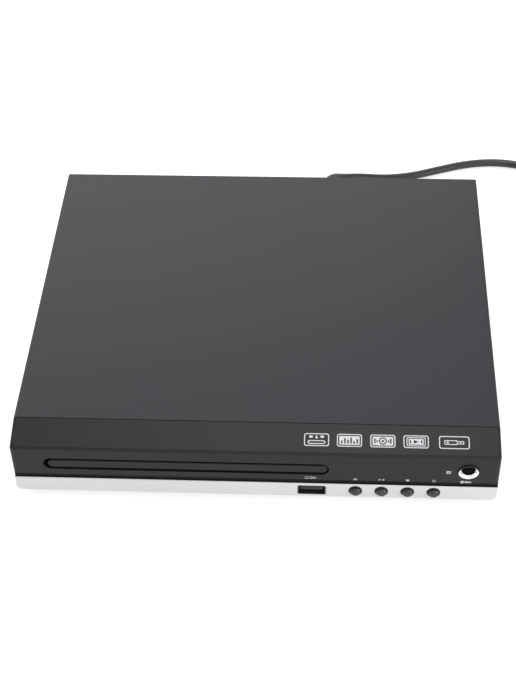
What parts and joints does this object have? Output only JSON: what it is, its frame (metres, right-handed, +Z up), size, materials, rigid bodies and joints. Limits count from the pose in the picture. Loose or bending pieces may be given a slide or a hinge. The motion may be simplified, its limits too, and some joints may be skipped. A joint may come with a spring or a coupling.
{
  "type": "dvd player",
  "caption": "Compact free-standing disc player with a front disc tray, a silver control strip, a microphone and a memory-stick socket, rear jacks and a mains cord.",
  "frame": {"origin": "on the surface the feet stand on, midway between the case's sides and midway between the button fronts and the ends of the rear jacks", "axes": "+Z up, the front faces -Y, +X to the right as seen from the front"},
  "size_m": [0.3625, 0.2827, 0.0405],
  "materials": {
    "zinc_steel": "zinc-plated sheet, satin",
    "black_paint": "fine matt black paint",
    "black_plastic": "fine satin",
    "silver_plastic": "silver paint, satin",
    "black_rubber": "matt",
    "black_screw": "black oxide, satin",
    "zinc_screw": "zinc plated",
    "board_green": "solder mask, satin",
    "switch_black": "satin",
    "receiver_black": "gloss",
    "pale_lens": "frosted",
    "bright_steel": "nickel plated",
    "dark_insulator": "satin",
    "bright_ring": "polished nickel",
    "dark_button": "satin",
    "chip_black": "matt",
    "yellow_plastic": "satin",
    "white_plastic": "satin",
    "red_plastic": "satin",
    "board_tan": "bare laminate",
    "core_dark": "ferrite and tape",
    "sleeve_dark": "sleeve",
    "grey_ribbon": "satin",
    "loader_black": "matt",
    "tray_black": "fine texture",
    "white_gear": "acetal, satin",
    "motor_steel": "plated can",
    "damper_rubber": "matt",
    "turntable_black": "satin",
    "sled_metal": "die cast",
    "clear_lens": "clear, bluish coating",
    "puck_white": "satin",
    "cord_black": "matt PVC",
    "tie_black": "satin",
    "blade_nickel": "nickel plated"
  },
  "bodies": {
    "player": {"base_pan": "zinc_steel", "top_cover": "black_paint", "front_panel": "black_plastic", "front_trim": "silver_plastic", "feet": "black_rubber", "cover_screws": "black_screw", "inner_screws": "zinc_screw", "front_board": "board_green", "tact_switches": "switch_black", "ir_receiver": "receiver_black", "indicator_lens": "pale_lens", "usb_shell": "bright_steel", "usb_tongue": "dark_insulator", "mic_jack": "dark_insulator", "mic_ring": "bright_ring", "main_board": "board_green", "main_chips": "chip_black", "jack_block": "dark_insulator", "jack_shells": "bright_steel", "video_insulator": "yellow_plastic", "left_insulator": "white_plastic", "right_insulator": "red_plastic", "hdmi_socket": "bright_steel", "power_board": "board_tan", "transformer": "core_dark", "capacitors": "sleeve_dark", "ribbon_cable": "grey_ribbon", "loader_frame": "loader_black", "loading_motor": "motor_steel", "drive_belt": "black_rubber", "clamp_bridge": "zinc_steel", "cord_relief": "cord_black", "mains_cord": "cord_black", "cord_coil": "cord_black", "cord_tie": "tie_black", "mains_plug": "cord_black", "plug_blades": "blade_nickel"},
    "tray": {"disc_tray": "tray_black", "tray_door": "black_plastic"},
    "tray_gear": {"tray_gear": "white_gear"},
    "pulley_gear": {"pulley_gear": "white_gear"},
    "motor_pulley": {"motor_pulley": "white_gear"},
    "cam_slider": {"cam_slider": "white_gear"},
    "traverse": {"lift_frame": "loader_black", "dampers": "damper_rubber", "traverse_plate": "zinc_steel", "guide_rods": "bright_steel", "spindle_motor": "motor_steel", "feed_motor": "motor_steel"},
    "turntable": {"turntable": "turntable_black"},
    "pickup_sled": {"pickup_sled": "sled_metal", "objective_lens": "clear_lens"},
    "feed_gear": {"feed_gear": "white_gear"},
    "feed_pinion": {"feed_pinion": "white_gear"},
    "clamp_puck": {"clamp_puck": "puck_white"},
    "eject_button": {"eject_button": "dark_button"},
    "play_button": {"play_button": "dark_button"},
    "stop_button": {"stop_button": "dark_button"},
    "power_button": {"power_button": "dark_button"}
  },
  "joints": [
    {"name": "tray_slide", "type": "slide", "parent": "player", "child": "tray", "axis": [0, -1, 0], "range_m": [0, 0.126]},
    {"name": "tray_gear_spin", "type": "hinge", "parent": "player", "child": "tray_gear", "pos_m": [0.01845, -0.07735, 0.022], "axis": [0, 0, 1], "range_deg": [-810, 0]},
    {"name": "pulley_gear_spin", "type": "hinge", "parent": "player", "child": "pulley_gear", "pos_m": [0.00325, -0.07735, 0.015], "axis": [0, 0, 1], "range_deg": [0, 2270]},
    {"name": "motor_pulley_spin", "type": "hinge", "parent": "player", "child": "motor_pulley", "pos_m": [-0.02575, -0.07735, 0.0198], "axis": [0, 0, 1], "range_deg": [0, 6300]},
    {"name": "traverse_tilt", "type": "hinge", "parent": "player", "child": "traverse", "pos_m": [-0.0338, 0.03865, 0.0133], "axis": [1, 0, 0], "range_deg": [0, 3.15]},
    {"name": "cam_slide", "type": "slide", "parent": "player", "child": "cam_slider", "axis": [1, 0, 0], "range_m": [0, 0.01205]},
    {"name": "turntable_spin", "type": "hinge", "parent": "traverse", "child": "turntable", "pos_m": [-0.0338, -0.03985, 0.02665], "axis": [0, 0, 1], "continuous": true},
    {"name": "sled_slide", "type": "slide", "parent": "traverse", "child": "pickup_sled", "axis": [0, 1, 0], "range_m": [0, 0.034]},
    {"name": "feed_gear_spin", "type": "hinge", "parent": "traverse", "child": "feed_gear", "pos_m": [-0.0006, -0.00385, 0.0188], "axis": [0, 0, 1], "range_deg": [-275, 0]},
    {"name": "feed_pinion_spin", "type": "hinge", "parent": "traverse", "child": "feed_pinion", "pos_m": [0.00661, 0.00336, 0.0188], "axis": [0, 0, 1], "range_deg": [0, 660]},
    {"name": "clamp_spin", "type": "hinge", "parent": "player", "child": "clamp_puck", "pos_m": [-0.0338, -0.03985, 0.032], "axis": [0, 0, 1], "continuous": true},
    {"name": "eject_press", "type": "slide", "parent": "player", "child": "eject_button", "axis": [0, 1, 0], "range_m": [0, 0.0006], "stiffness_N_per_m": 400, "springref_m": -0.0005},
    {"name": "play_press", "type": "slide", "parent": "player", "child": "play_button", "axis": [0, 1, 0], "range_m": [0, 0.0006], "stiffness_N_per_m": 400, "springref_m": -0.0005},
    {"name": "stop_press", "type": "slide", "parent": "player", "child": "stop_button", "axis": [0, 1, 0], "range_m": [0, 0.0006], "stiffness_N_per_m": 400, "springref_m": -0.0005},
    {"name": "power_press", "type": "slide", "parent": "player", "child": "power_button", "axis": [0, 1, 0], "range_m": [0, 0.0006], "stiffness_N_per_m": 400, "springref_m": -0.0005}
  ],
  "couplings": [
    {"joint": "tray_gear_spin", "follows": "tray_slide", "rad_per_m": -111.11},
    {"joint": "pulley_gear_spin", "follows": "tray_slide", "rad_per_m": 311.11},
    {"joint": "motor_pulley_spin", "follows": "tray_slide", "rad_per_m": 864.2},
    {"joint": "cam_slide", "follows": "traverse_tilt", "m_per_rad": 0.21794},
    {"joint": "feed_gear_spin", "follows": "sled_slide", "rad_per_m": -138.89},
    {"joint": "feed_pinion_spin", "follows": "sled_slide", "rad_per_m": 333.33}
  ]
}
